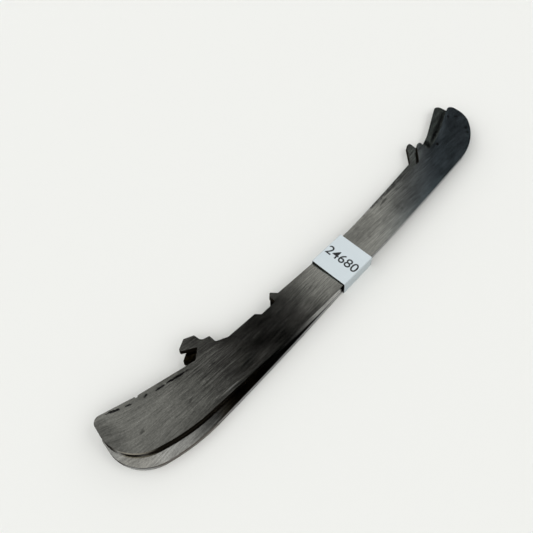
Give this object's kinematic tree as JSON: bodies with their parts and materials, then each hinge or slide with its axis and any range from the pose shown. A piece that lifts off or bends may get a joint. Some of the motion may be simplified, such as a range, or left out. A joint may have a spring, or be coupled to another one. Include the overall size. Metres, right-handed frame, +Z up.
{
  "type": "hockey skate runner",
  "caption": "Flat steel hockey skate runners with hooked holder tabs and a hollow-ground rockered edge, laid one on the other and held by a loose paper band.",
  "frame": {"origin": "middle of the pair's plan, on the surface that the band rests on", "axes": "+X along the lower runner from heel to toe, +Y towards the holder side, +Z up"},
  "size_m": [0.2722, 0.0426, 0.0079],
  "materials": {
    "lower_steel": "ground, lengthwise brushed",
    "upper_steel": "ground, lengthwise brushed",
    "paper": "smooth white paper"
  },
  "bodies": {
    "lower": {"lower_runner": "lower_steel"},
    "upper": {"upper_runner": "upper_steel"},
    "band": {"paper_band": "paper"}
  },
  "joints": [
    {"name": "upper_turn", "type": "hinge", "parent": "lower", "child": "upper", "pos_m": [-0.0047, -0.01037, 0.0032], "axis": [0, 0, 1], "range_deg": [0, 2.94]},
    {"name": "band_slide", "type": "slide", "parent": "upper", "child": "band", "axis": [0.9987, -0.0513, 0], "range_m": [-0.006, 0.003]}
  ]
}
